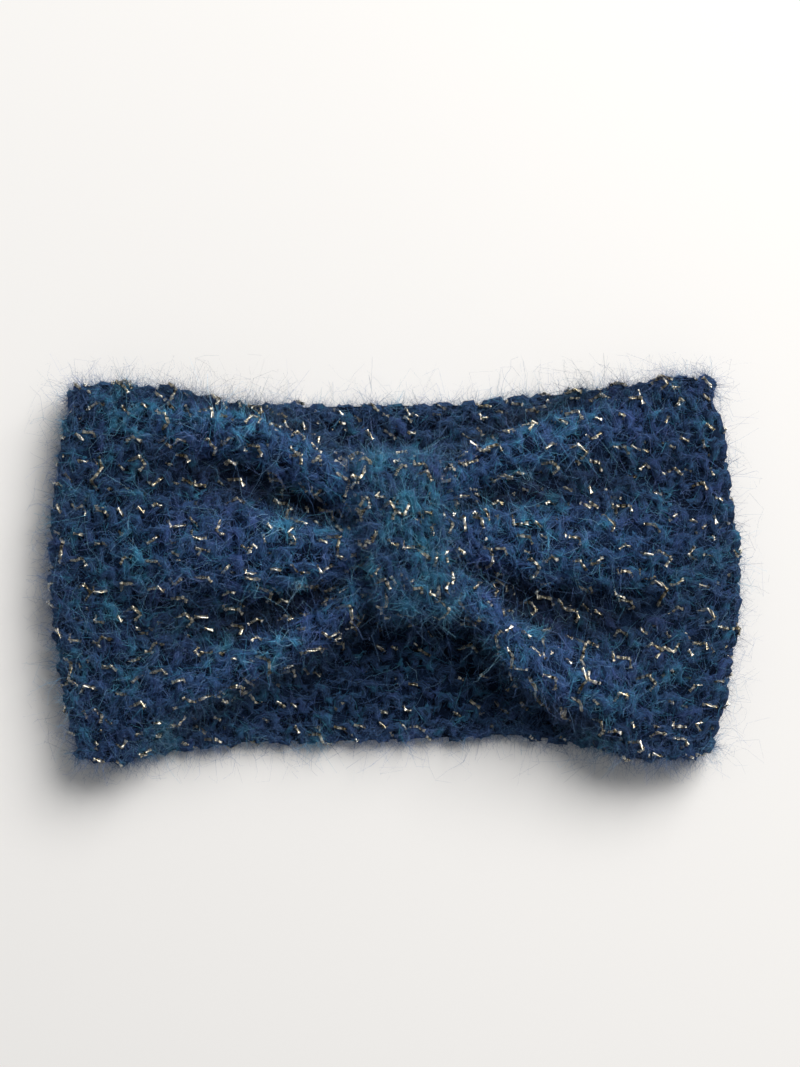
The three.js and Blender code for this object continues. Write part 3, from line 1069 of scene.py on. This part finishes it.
def fibre_tree() -> bpy.types.NodeTree:
    """Builds the tree that grows soft fibres out of the yarn, as fine ribbons.

    Returns:
        The geometry tree.
    """
    net = Net(bpy.data.node_groups.new("Soft fibres", "GeometryNodeTree"))
    given: dict[str, Any] = {
        "Yarn": Shape(),
        "Density": 100000.0,
        "Seed": 1,
        "Length": 0.009,
        "Along": 0.0,
        "Rise": 0.35,
        "Curl": 0.004,
        "Waves": 170.0,
        "Width": 0.00012,
        "Points": 7,
        "Facing": -2.0,
        "Under": 1.0,
        "Edge": 0.0,
        "Fringe": 0.0,
        "Tufts": 0.0,
        "Relief": 0.0,
        "Shift": 0.5,
        "Low": Vector((-1, -1, 0)),
        "High": Vector((1, 1, 1)),
        "Material": Dress(),
    }
    g = net.group_inputs(given)
    _, _, up = net.split(net.out("GeometryNodeInputNormal"))
    chosen = up.math("GREATER_THAN", g["Facing"])
    spot = net.out("GeometryNodeInputPosition")
    x, y, _ = net.split(spot)
    wide = x.math("ABSOLUTE")
    # The back panel shows above and below the gathered front and at both ends, and is hidden elsewhere
    above = net.ramp(y - wide * 0.5, 0.02, 0.028)
    below = net.ramp(y * -1 - wide * 0.6, 0.0, 0.008)
    window = above.math("MAXIMUM", below) * net.ramp(up, -0.3, 0.1)
    bare = window.math("MAXIMUM", net.ramp(wide, 0.098, 0.108) * 0.7).math("MAXIMUM", g["Under"])
    # Fibres grow in tufts, on the loops that stand proud, on the ridges of the folds and at the edges
    thread = named(net, "thread", "FLOAT_VECTOR")
    _, _, side = net.split(thread)
    tufts = net.ramp(net.noise(net.scale(spot, 300.0), 1.0, 0.0), 0.4, 0.62) * g["Tufts"] + (1 - g["Tufts"])
    brushed = net.ramp(named(net, "crest"), -0.9, 0.5) * 0.75 + 0.25
    raised = net.ramp(side, -0.7, 0.4) * g["Relief"] * brushed + (1 - g["Relief"])
    edge = net.ramp(wide, 0.1, 0.112).math("MAXIMUM", g["Fringe"])
    density = g["Density"] * bare * (edge * g["Edge"] + 1) * tufts.math("MAXIMUM", edge) * raised
    given = {"Mesh": g["Yarn"], "Selection": chosen, "Density": density, "Seed": g["Seed"]}
    roots = net.node("GeometryNodeDistributePointsOnFaces", given, distribute_method="RANDOM")
    points, normal = Field(net, roots.outputs["Points"]), Field(net, roots.outputs["Normal"])

    def random(seed: int, low: float, high: float) -> Field:
        """Gives each fibre its own number."""
        given = {"Min": low, "Max": high, "Seed": g["Seed"] * 7 + seed}
        return net.out("FunctionNodeRandomValue", given, data_type="FLOAT")

    # Each fibre's way, length and tone
    any_way = net.combine(random(1, -1.0, 1.0), random(2, -1.0, 1.0), random(3, -1.0, 1.0))
    way = net.vector("ADD", net.scale(normal, g["Rise"] + edge * 0.12), net.vector("NORMALIZE", any_way))
    forth = random(6, -1.0, 1.0).math("SIGN") * g["Along"] * (1 - edge * 0.4)
    way = net.vector("ADD", way, net.scale(named(net, "along", "FLOAT_VECTOR"), forth))
    turn = net.out("FunctionNodeAlignRotationToVector", {"Vector": way}, axis="Z")
    long = g["Length"] * (random(4, 0.0, 1.0).math("POWER", 1.7) * 1.3 + 0.4)
    tone = patch_of_color(net, spot, thread, g["Shift"]) + random(5, -0.25, 0.25)
    points = stored(net, points, "tone", tone)
    line = net.out("GeometryNodeCurvePrimitiveLine", {"Start": (0, 0, 0), "End": (0, 0, 1)})
    line = net.out("GeometryNodeResampleCurve", {"Curve": line, "Count": g["Points"]})
    given = {"Points": points, "Instance": line, "Rotation": turn, "Scale": net.combine(long, long, long)}
    fibres = net.out("GeometryNodeInstanceOnPoints", given)
    fibres = net.out("GeometryNodeRealizeInstances", {"Geometry": fibres})

    # It bends more and more towards its tip, by waves and by one long arc
    factor = Field(net, net.node("GeometryNodeSplineParameter").outputs["Factor"])
    tone = named(net, "tone")
    at = net.vector("ADD", net.scale(spot, g["Waves"]), net.combine(tone * 90, tone * 37, 0.0))
    bent = net.vector("ADD", spot, net.scale(net.wander(at), g["Curl"] * 3.2 * factor))
    aside = net.combine((tone * 970).math("SINE"), (tone * 970).math("COSINE"), 0.0)
    bent = net.vector("ADD", bent, net.scale(aside, g["Length"] * 0.6 * factor * factor))
    fibres = net.out("GeometryNodeSetPosition", {"Geometry": fibres, "Position": bent})
    fibres = net.out("GeometryNodeSetCurveTilt", {"Curve": fibres, "Tilt": tone * 40})
    ribbon = net.out("GeometryNodeCurvePrimitiveLine", {"Start": (-0.5, 0, 0), "End": (0.5, 0, 0)})
    taper = g["Width"] * (1.15 - factor * 0.75)
    given = {"Curve": fibres, "Profile Curve": ribbon, "Scale": taper, "Fill Caps": False}
    mesh = net.out("GeometryNodeCurveToMesh", given)
    # A hair ends where it leaves the space that fibres may fill
    room, *others = net.split(net.vector("SUBTRACT", spot, g["Low"]))
    for left in (*others, *net.split(net.vector("SUBTRACT", g["High"], spot))):
        room = room.math("MINIMUM", left)
    given = {"Geometry": mesh, "Selection": room.math("LESS_THAN", 0.0)}
    mesh = net.out("GeometryNodeDeleteGeometry", given, domain="POINT", mode="ALL")
    finish_tree(net, mesh, g["Material"])
    return net.tree


def grow(
    tree: bpy.types.NodeTree, source: bpy.types.Mesh, name: str, values: dict[str, Any]
) -> bpy.types.Object:
    """Runs a geometry tree on a mesh and keeps the result as a plain mesh.

    Args:
        tree: The geometry tree.
        source: The mesh that goes into the tree.
        name: The new piece's name.
        values: The tree's inputs by name.

    Returns:
        The new object, at the origin, with no modifier.
    """
    start = add_object(name + "_start", source)
    grower = start.modifiers.new("grow", "NODES")
    grower.node_group = tree
    for socket in tree.interface.items_tree:
        if socket.in_out == "INPUT" and socket.name in values:
            grower[socket.identifier] = values[socket.name]
    start.update_tag()
    view = bpy.context.evaluated_depsgraph_get()
    grown = start.evaluated_get(view)
    mesh = bpy.data.meshes.new_from_object(grown, preserve_all_data_layers=True, depsgraph=view)
    mesh.name = name
    bpy.data.objects.remove(start)
    made = add_object(name, mesh)
    log.info("%s: %d faces", name, len(mesh.polygons))
    return made


def attribute(net: Net, name: str, output: str = "Fac") -> Field:
    """Adds a material's Attribute node and gives one of its outputs."""
    return Field(net, net.node("ShaderNodeAttribute", attribute_name=name).outputs[output])


def mix(net: Net, share: Any, first: Any, second: Any) -> Field:
    """Blends two colours."""
    return net.out("ShaderNodeMix", {"Factor": share, "A": first, "B": second}, data_type="RGBA")


def painted_fold_light(net: Net, color: Any) -> Field:
    """Paints the light and shade of the folds into a colour: paler on the ridges and darker down in a fold.
    """
    return net.scale(color, net.ramp(attribute(net, "crest"), -1.1, 0.9) * 1.2 + 0.34)


def yarn_shade_group() -> bpy.types.NodeTree:
    """Builds the shader group that colours yarn: fibres that twist along it, and two colours in patches.

    Returns:
        The group, with Color and Height outputs.
    """
    net = Net(bpy.data.node_groups.new("Yarn shade", "ShaderNodeTree"))
    values = {
        "Run": 0.0,
        "Around": Vector((0, 0, 0)),
        "Patch": 0.5,
        "Deep": (0.01, 0.02, 0.04, 1.0),
        "Main": (0.02, 0.04, 0.08, 1.0),
        "Cool": (0.05, 0.15, 0.19, 1.0),
        "Warm": (0.1, 0.06, 0.22, 1.0),
        "Strength": 0.5,
    }
    g = net.group_inputs(values)
    twist = {"Vector": g["Around"], "Angle": g["Run"] * (TAU / 0.017)}
    around = net.out("ShaderNodeVectorRotate", twist, rotation_type="Z_AXIS")
    x, y, _ = net.split(around)
    hairs = net.noise(net.combine(g["Run"] * 300, x * 7, y * 7), 1.0, 2.0)
    strands = net.noise(net.combine(g["Run"] * 190, x * 16 + 9, y * 16), 1.0, 1.0)
    # Painted shade: the near-black Deep colour fills the low parts of the hair noise, which is also the
    # bump's height, mixed with the real fibre streaks.
    color = mix(net, net.ramp(hairs, 0.38, 0.64), g["Deep"], g["Main"])
    cool = net.ramp(g["Patch"], 0.55, 1.0) * net.ramp(strands, 0.36, 0.66) * g["Strength"]
    warm = net.ramp(g["Patch"], 0.42, 0.05) * net.ramp(strands, 0.36, 0.66) * g["Strength"]
    color = mix(net, warm, mix(net, cool, color, g["Cool"]), g["Warm"])
    net.result({"Color": ("NodeSocketColor", color), "Height": ("NodeSocketFloat", hairs + strands * 0.6)})
    return net.tree


class Paint:
    """A new material, with its nodes and its shader."""

    def __init__(self, name: str) -> None:
        """Starts the material.

        Args:
            name: Its name.
        """
        self.made = bpy.data.materials.new(name)
        self.made.use_nodes = True
        self.net = Net(self.made.node_tree)

    def spot(self) -> Any:
        """Adds the place on the object."""
        return self.net.node("ShaderNodeTexCoord").outputs["Object"]

    def bump(self, height: Any, strength: float, distance: float) -> Field:
        """Adds a Bump node."""
        given = {"Height": height, "Strength": strength, "Distance": distance}
        return self.net.out("ShaderNodeBump", given)

    def finish(self, values: dict[str, Any]) -> bpy.types.Material:
        """Sets the shader.

        Args:
            values: Values or fields by the name of the shader's input.

        Returns:
            The material.
        """
        shader = self.made.node_tree.nodes["Principled BSDF"]
        for name, value in values.items():
            self.net.feed(shader.inputs[name], value)
        return self.made


@dataclass(frozen=True)
class YarnFinish:
    """Dark mohair yarn with two other colours in it.

    Attributes:
        name: The material's name.
        deep: Near-black colour between its fibres, where the hair noise and the bump are low: painted shade
            in the hollows.
        main: Colour of its fibres.
        cool: The first colour that comes and goes.
        warm: The second colour that comes and goes.
        strength: How strong those two are.
        shift: 0.5 for as much of both, more for more of the first.
        sheen: Soft light at its edges.
    """

    name: str
    deep: tuple[float, ...] = (0.0015, 0.0045, 0.013, 1.0)
    main: tuple[float, ...] = (0.032, 0.076, 0.18, 1.0)
    cool: tuple[float, ...] = (0.035, 0.21, 0.34, 1.0)
    warm: tuple[float, ...] = (0.04, 0.066, 0.2, 1.0)
    strength: float = 0.75
    shift: float = 0.5
    sheen: float = 0.03

    def material(self, shade: bpy.types.NodeTree) -> bpy.types.Material:
        """Builds the material.

        Args:
            shade: The yarn shade group.

        Returns:
            The material.
        """
        paint = Paint(self.name)
        net = paint.net
        given = {
            "Run": attribute(net, "run"),
            "Around": attribute(net, "around", "Vector"),
            "Patch": patch_of_color(net, paint.spot(), attribute(net, "thread", "Vector"), self.shift),
            "Deep": self.deep,
            "Main": self.main,
            "Cool": self.cool,
            "Warm": self.warm,
            "Strength": self.strength,
        }
        yarn = net.node("ShaderNodeGroup", given, node_tree=shade)
        height = Field(net, yarn.outputs["Height"])
        looks = {
            # Painted light and shade: the yarn's colour is paler on fold ridges and darker down in fold
            # valleys.
            "Base Color": painted_fold_light(net, yarn.outputs["Color"]),
            "Roughness": height * 0.25 + 0.62,
            "Normal": paint.bump(height, 0.7, 0.0005),
            "Sheen Weight": self.sheen,
            "Sheen Roughness": 0.45,
            "Sheen Tint": (0.45, 0.58, 0.8, 1.0),
            "Specular IOR Level": 0.12,
        }
        return paint.finish(looks)


@dataclass(frozen=True)
class GoldFinish:
    """Thin gold metallic thread, with painted light in its colour: near white on the flat stretches of its
    foil as a painted glint, and dark in its folds as painted shade.

    Attributes:
        name: The material's name.
        light: Colour of its flat stretches, near white as a painted glint.
        dark: Colour of its folds, as painted shade.
    """

    name: str = "gold_thread"
    light: tuple[float, ...] = (1.0, 0.95, 0.82, 1.0)
    dark: tuple[float, ...] = (0.36, 0.31, 0.2, 1.0)

    def material(self) -> bpy.types.Material:
        """Builds the material.

        Returns:
            The material.
        """
        paint = Paint(self.name)
        net = paint.net
        at = net.combine(attribute(net, "run") * 900, attribute(net, "seen") * 9, 0.0)
        foil = net.noise(at, 1.0, 1.0)
        # Painted glint and shade: the colour follows the same foil noise that makes the bump.
        looks = {
            "Base Color": mix(net, net.ramp(foil, 0.4, 0.6), self.dark, self.light),
            "Roughness": foil * 0.35 + 0.12,
            "Metallic": 1.0,
            "Normal": paint.bump(foil, 0.5, 0.0002),
        }
        return paint.finish(looks)


# Colours of the fibres from the purple end of the dye to the teal end: columns tone, red, green, blue
FIBRE_COLORS = {
    "deep": (
        (0.0, 0.06, 0.1, 0.3),
        (0.25, 0.024, 0.068, 0.2),
        (0.42, 0.009, 0.032, 0.095),
        (0.65, 0.026, 0.095, 0.225),
        (0.85, 0.042, 0.21, 0.35),
        (1.0, 0.1, 0.36, 0.52),
    ),
    "pale": (
        (0.0, 0.15, 0.22, 0.46),
        (0.3, 0.08, 0.16, 0.34),
        (0.5, 0.035, 0.08, 0.2),
        (0.7, 0.13, 0.24, 0.4),
        (0.85, 0.09, 0.28, 0.42),
        (1.0, 0.24, 0.43, 0.58),
    ),
}


@dataclass(frozen=True)
class Fibre:
    """One kind of loose fibre. Sizes in metres.

    Attributes:
        name: End of its pieces' names.
        colors: Its colours, by their name in the table.
        count: Fibres on each square metre of yarn.
        length: A middling length.
        along: How closely it follows the yarn.
        rise: How far it stands off the yarn.
        curl: How far its tip wanders.
        waves: How often it bends in a metre.
        width: Its width.
        points: Points along it.
        edge: How much more of it there is at the edges.
        tufts: 1 where it grows in tufts, 0 where it grows evenly.
        relief: 1 where it grows only on the loops that stand proud.
    """

    name: str
    colors: str
    count: float
    length: float
    along: float
    rise: float
    curl: float
    waves: float
    width: float
    points: int
    edge: float = 0.0
    tufts: float = 0.0
    relief: float = 0.0

    def shape(self) -> dict[str, Any]:
        """Gives the tree inputs that make its shape."""
        names = ("length", "along", "rise", "curl", "waves", "width", "points", "edge", "tufts")
        return {name.capitalize(): getattr(self, name) for name in names}


FIBRES = (
    Fibre("down", "deep", 2500000.0, 0.0034, 1.6, 0.25, 0.0012, 400.0, 0.000085, 2, tufts=0.4, relief=0.75),
    Fibre("web", "pale", 270000.0, 0.0046, 0.8, 0.2, 0.005, 300.0, 0.000055, 5, edge=1.8, relief=0.3),
    Fibre("halo", "pale", 110000.0, 0.0098, 0.3, 0.35, 0.014, 230.0, 0.00006, 8, edge=1.2, relief=0.75),
)


@dataclass(frozen=True)
class FibreFinish:
    """Loose mohair fibres, each with its own colour.

    Attributes:
        name: The material's name.
        colors: Columns: tone from which a colour holds, red, green, blue.
    """

    name: str
    colors: tuple[tuple[float, ...], ...]

    def material(self) -> bpy.types.Material:
        """Builds the material.

        Returns:
            The material.
        """
        paint = Paint(self.name)
        net = paint.net
        tone = attribute(net, "tone")
        ramp = net.node("ShaderNodeValToRGB", {"Fac": tone})
        stops = ramp.color_ramp.elements
        while len(stops) < len(self.colors):
            stops.new(0.5)
        for stop, (at, *color) in zip(stops, self.colors):
            stop.position = at
            stop.color = (*color, 1.0)
        looks = {
            # Painted light and shade: the fibres' colour is paler on fold ridges and darker down in fold
            # valleys.
            "Base Color": painted_fold_light(net, ramp.outputs["Color"]),
            "Roughness": tone * 0.25 + 0.5,
            "Specular IOR Level": 0.25,
        }
        return paint.finish(looks)


def fibre_materials() -> dict[str, bpy.types.Material]:
    """Builds the fibres' materials, by the names of their colours."""
    return {name: FibreFinish(name, colors).material() for name, colors in FIBRE_COLORS.items()}


@dataclass(frozen=True)
class ClothFinish:
    """The knit behind the yarn's loops, coloured near black: painted shade in the gaps between the loops.

    Attributes:
        name: The material's name.
        dark: Colour of its hollows, where its bump is low: painted shade.
        light: Colour of its lumps.
    """

    name: str = "knit_core"
    dark: tuple[float, ...] = (0.0015, 0.004, 0.012, 1.0)
    light: tuple[float, ...] = (0.005, 0.013, 0.034, 1.0)

    def material(self) -> bpy.types.Material:
        """Builds the material.

        Returns:
            The material.
        """
        paint = Paint(self.name)
        net = paint.net
        spot = paint.spot()
        fuzz = net.noise(spot, 900.0, 3.0)
        lumps = net.noise(spot, 160.0, 1.0)
        # Painted shade: near black throughout, and darker still where the lumps that also make its bump are
        # low.
        looks = {
            "Base Color": mix(net, net.ramp(lumps, 0.35, 0.7), self.dark, self.light),
            "Roughness": fuzz * 0.2 + 0.75,
            "Normal": paint.bump(fuzz + lumps * 2, 0.8, 0.0008),
            "Specular IOR Level": 0.05,
        }
        return paint.finish(looks)


class Slot(Enum):
    """The record's material slots."""

    BAND = "band_knit"
    RING = "wrap_knit"


class Held(Enum):
    """How a sheet of cloth is held."""

    GATHERED = "gathered"
    FOLDED = "folded"


@dataclass
class Workshop:
    """The trees and materials that every knit piece shares.

    Attributes:
        low: Lowest corner of the space that fibres may fill.
        high: Highest corner of it.
        yarn: Tree of the yarn.
        gold: Tree of the gold thread.
        fibre: Tree of the loose fibres.
        shade: Shader group of the yarn.
        gold_finish: Material of the gold thread.
        fibre_finishes: Materials of the fibres, by the names of their colours.
        core_finish: Material of the cloth behind the loops.
    """

    low: Vector
    high: Vector
    yarn: bpy.types.NodeTree = field(default_factory=yarn_tree)
    gold: bpy.types.NodeTree = field(default_factory=gold_tree)
    fibre: bpy.types.NodeTree = field(default_factory=fibre_tree)
    shade: bpy.types.NodeTree = field(default_factory=yarn_shade_group)
    gold_finish: bpy.types.Material = field(default_factory=GoldFinish().material)
    fibre_finishes: dict[str, bpy.types.Material] = field(default_factory=fibre_materials)
    core_finish: bpy.types.Material = field(default_factory=ClothFinish().material)


@dataclass(frozen=True)
class Section:
    """A stretch of a knit piece that is made as one mesh of each kind.

    Attributes:
        name: Its name.
        first: Its first stitch.
        stitches: How many stitches it has.
        rows: Its first row, and how many it has.
        swing: How far its loops rise, as a share of those of the whole piece.
        round: True where its courses run round the piece although those of the piece run across it.
        face: 1 where only its outer side shows, 0 where both sides do.
        steps: Points of the yarn on each stitch.
        gold: Share of the gold thread that shows.
        fuzz: How much there is of each kind of loose fibre, as a share of the usual.
        fringe: 1 where the fibres stand off as they do at the edges.
        under: Share of the fibres that grow where the front panel or the ground hides the yarn.
    """

    name: str
    first: float
    stitches: int
    rows: tuple[float, int] = (0.0, BAND_ROWS)
    swing: float = 1.0
    round: bool = False
    face: float = 1.0
    steps: int = 12
    gold: float = 0.52
    fuzz: tuple[float, ...] = (1.0, 1.0, 1.0)
    fringe: float = 0.0
    under: float = 1.0


@dataclass
class KnitPart:
    """A knit piece: its cloth core, the yarn knit over it, the gold thread in the yarn, and the halo.

    Attributes:
        name: Start of its pieces' names.
        node: The solid that it stands for.
        slot: The record's material slot. Not used.
        shop: The shared trees and materials.
        cloth: Its middle surface.
        sections: Its stretches.
        finish: Its yarn's finish.
        swing: How many rows a loop rises over half of its height, negative where rows run down.
        core: Thickness of the core in mm.
        yarn: Radius of the yarn in mm where it is thinner.
        depth: How far a loop stands off the middle surface in mm.
        lean: How far a loop spreads over its neighbours, in stitches.
        turns: 0.5 where every other stitch faces the other way.
        skip: Every how many rings and points the core keeps.
        seed: Start of its random numbers.
        wool: Its yarn's material.
    """

    name: str
    node: str
    slot: Slot
    shop: Workshop
    cloth: Cloth
    sections: tuple[Section, ...]
    finish: YarnFinish
    swing: float
    core: float = 1.4
    yarn: float = 1.42
    depth: float = 1.25
    lean: float = 0.12
    turns: float = 0.5
    skip: int = 3
    seed: int = 3
    wool: bpy.types.Material = field(init=False)

    def __post_init__(self) -> None:
        """Builds the yarn's material."""
        self.wool = self.finish.material(self.shop.shade)

    def knit(self, section: Section) -> list[bpy.types.Object]:
        """Makes the yarn, gold thread and halo of one section.

        Args:
            section: The section.

        Returns:
            Its objects.
        """
        cloth = replace(self.cloth, crosswise=self.cloth.crosswise and not section.round)
        guide = cloth.guide(section.name + "_guide")
        course = {
            "First stitch": float(section.first),
            "Stitches": section.stitches,
            "First row": float(section.rows[0]),
            "Rows": section.rows[1],
            "Lean": self.lean,
            "Swing": self.swing * section.swing,
            "Depth": self.depth * MM,
            "Lowest row": -99.0 if cloth.crosswise else 0.1,
            "Highest row": 99.0 if cloth.crosswise else cloth.across - 0.1,
            "Turns": self.turns,
            "Seed": self.seed,
            **cloth.chart(),
        }
        size = {"Radius": self.yarn * MM, "Steps": section.steps, "Sides": YARN_SIDES}
        yarn = {**course, **size, "Material": self.wool}
        wool = grow(self.shop.yarn, guide, section.name + "_yarn", yarn)
        size = {"Yarn radius": self.yarn * MM, "Steps": GOLD_STEPS}
        shown = {"Face": section.face, "Share": section.gold}
        thread = {**course, **size, **shown, "Material": self.shop.gold_finish}
        gold = grow(self.shop.gold, guide, section.name + "_gold", thread)
        bpy.data.meshes.remove(guide)
        return [wool, gold, *self.fibres(wool, section)]

    def fibres(self, wool: bpy.types.Object, section: Section) -> list[bpy.types.Object]:
        """Grows the loose fibres of one section.

        Args:
            wool: The section's yarn.
            section: The section.

        Returns:
            One object for each kind of fibre.
        """
        every = {
            "Seed": self.seed,
            "Facing": -0.3 if section.face else -2.0,
            "Under": section.under,
            "Fringe": section.fringe,
            "Shift": self.finish.shift,
            "Low": tuple(self.shop.low),
            "High": tuple(self.shop.high),
        }
        made = []
        for kind, share in zip(FIBRES, section.fuzz):
            if not share:
                continue
            own = {"Density": kind.count * share, "Relief": kind.relief * section.face}
            values = {**every, **kind.shape(), **own, "Material": self.shop.fibre_finishes[kind.colors]}
            made.append(grow(self.shop.fibre, wool.data, f"{section.name}_{kind.name}", values))
        return made

    def build(self) -> list[bpy.types.Object]:
        """Makes all of the piece.

        Returns:
            The core and then everything on it.
        """
        name = self.name + "_cloth"
        core = add_object(name, shell_mesh(name, self.cloth, self.core, self.skip))
        core.data.materials.append(self.shop.core_finish)
        on_it = [made for section in self.sections for made in self.knit(section)]
        for made in (core, *on_it):
            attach(made, "root")
        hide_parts(self.node)
        log.info("%s: %d faces, flat %.0f by %.0f mm", name, len(core.data.polygons), *self.cloth.flat)
        return [core, *on_it]


@dataclass
class Studio:
    """Floor, light and camera. Sizes in metres.

    Attributes:
        centre: The point on the floor under the camera.
        height: Height of the camera.
        frame: Height of the picture at the band's middle.
        level: Height of the band's middle.
        sensor: Longer side of the camera's sensor, in mm.
        side: Half of the floor's side.
        window: Where the light is.
        window_size: Its side.
        energy: Its power in watts.
        around: Strength of the light from all round.
    """

    centre: tuple[float, float] = (0.0015, 0.012)
    height: float = 0.95
    frame: float = 0.3557
    level: float = 0.01
    sensor: float = 36
    side: float = 4.0
    window: tuple[float, float, float] = (1.2, 1.5, 1.55)
    window_size: float = 1.6
    energy: float = 89
    around: float = 0.25

    def camera(self) -> None:
        """Adds the camera, straight over the object."""
        data = bpy.data.cameras.new("camera")
        data.sensor_width = self.sensor
        data.lens = self.sensor * (self.height - self.level) / self.frame
        data.clip_start = 0.05
        made = add_object("camera", data)
        made.location = (*self.centre, self.height)
        bpy.context.scene.camera = made

    def floor(self) -> None:
        """Adds a plain pale floor."""
        mesh = bpy.data.meshes.new("floor")
        places = [(x * self.side, y * self.side, 0) for x, y in ((-1, -1), (1, -1), (1, 1), (-1, 1))]
        mesh.from_pydata(places, [], [(0, 1, 2, 3)])
        paint = Paint("floor_paper")
        net = paint.net
        tone = net.ramp(net.noise(paint.spot(), 3.0, 1.0), 0.2, 0.8)
        color = mix(net, tone, (0.865, 0.85, 0.83, 1), (0.88, 0.865, 0.845, 1))
        mesh.materials.append(paint.finish({"Base Color": color, "Roughness": 0.9}))
        add_object("floor", mesh)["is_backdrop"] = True

    def light(self) -> None:
        """Adds one large soft light towards the top of the picture, and pale light from all round."""
        data = bpy.data.lights.new("window", "AREA")
        data.size, data.energy = self.window_size, self.energy
        data.color = (1.0, 0.985, 0.965)
        made = add_object("window", data)
        made.location = self.window
        made.rotation_euler = (Vector((0, 0, 0)) - made.location).to_track_quat("-Z", "Y").to_euler()
        world = bpy.data.worlds.new("studio")
        world.use_nodes = True
        back = world.node_tree.nodes["Background"]
        back.inputs["Color"].default_value = (0.93, 0.96, 1.0, 1)
        back.inputs["Strength"].default_value = self.around
        bpy.context.scene.world = world
        bpy.context.scene.view_settings.view_transform = "Standard"

    def build(self) -> None:
        """Adds everything."""
        self.floor()
        self.light()
        self.camera()


def main() -> None:
    """Builds the headband on the solids' frame, and the studio round it."""
    logging.basicConfig(level=logging.INFO, format="%(message)s", stream=sys.stdout, force=True)
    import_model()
    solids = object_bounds()
    Studio().build()
    room = Vector((*FIBRE_ROOM, 0)) * MM
    top = Vector((0, 0, FIBRE_TOP * MM))
    shop = Workshop(low=solids[0] - room, high=solids[1] + room + top)
    panel = BAND_STITCHES // 2
    hem = Section("hem", 0, BAND_STITCHES, swing=0.28, face=0.0, steps=8, fuzz=(0.5, 1.4, 0.9), fringe=1.0)
    band = KnitPart(
        name="band",
        node="band",
        slot=Slot.BAND,
        shop=shop,
        cloth=BandForm().cloth(BAND_STITCHES, BAND_ROWS, lift=0.55),
        sections=(
            Section("front", 0, panel, steps=10),
            Section("back", panel, panel, face=0.0, steps=9, gold=0.42, fuzz=(0.35, 0.0, 0.5), under=0.12),
            replace(hem, name="upper_hem", rows=(-0.2, 1)),
            replace(hem, name="lower_hem", rows=(BAND_ROWS - 0.8, 1)),
        ),
        finish=YarnFinish("band_yarn"),
        swing=-0.52,
    )
    core, *on_it = band.build()
    flat = tuple(size * MM for size in band.cloth.flat)
    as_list(on_it)
    side = Section("side", 0, RING_ROWS, swing=0.15, round=True, steps=8)
    ring = KnitPart(
        name="wrap",
        node="centre_wrap",
        slot=Slot.RING,
        shop=shop,
        cloth=RingForm().cloth(RING_STITCHES, RING_ROWS),
        sections=(
            Section("ring", 0, RING_STITCHES, rows=(0, RING_ROWS), fuzz=(1.2, 1.0, 1.0)),
            replace(side, name="ring_left", rows=(-0.4, 1)),
            replace(side, name="ring_right", rows=(RING_STITCHES - 0.6, 1)),
        ),
        # The wrap's yarn is the band's yarn with a brighter main colour, as painted light on its
        # upward-facing top, and with more teal dye.
        finish=YarnFinish("wrap_yarn", main=(0.036, 0.088, 0.2, 1.0), strength=0.9, shift=0.6),
        swing=0.68,
        seed=5,
    )
    core, *on_it = ring.build()
    flat = tuple(size * MM for size in ring.cloth.flat)
    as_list(on_it)
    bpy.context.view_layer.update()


if __name__ == "__main__":
    main()
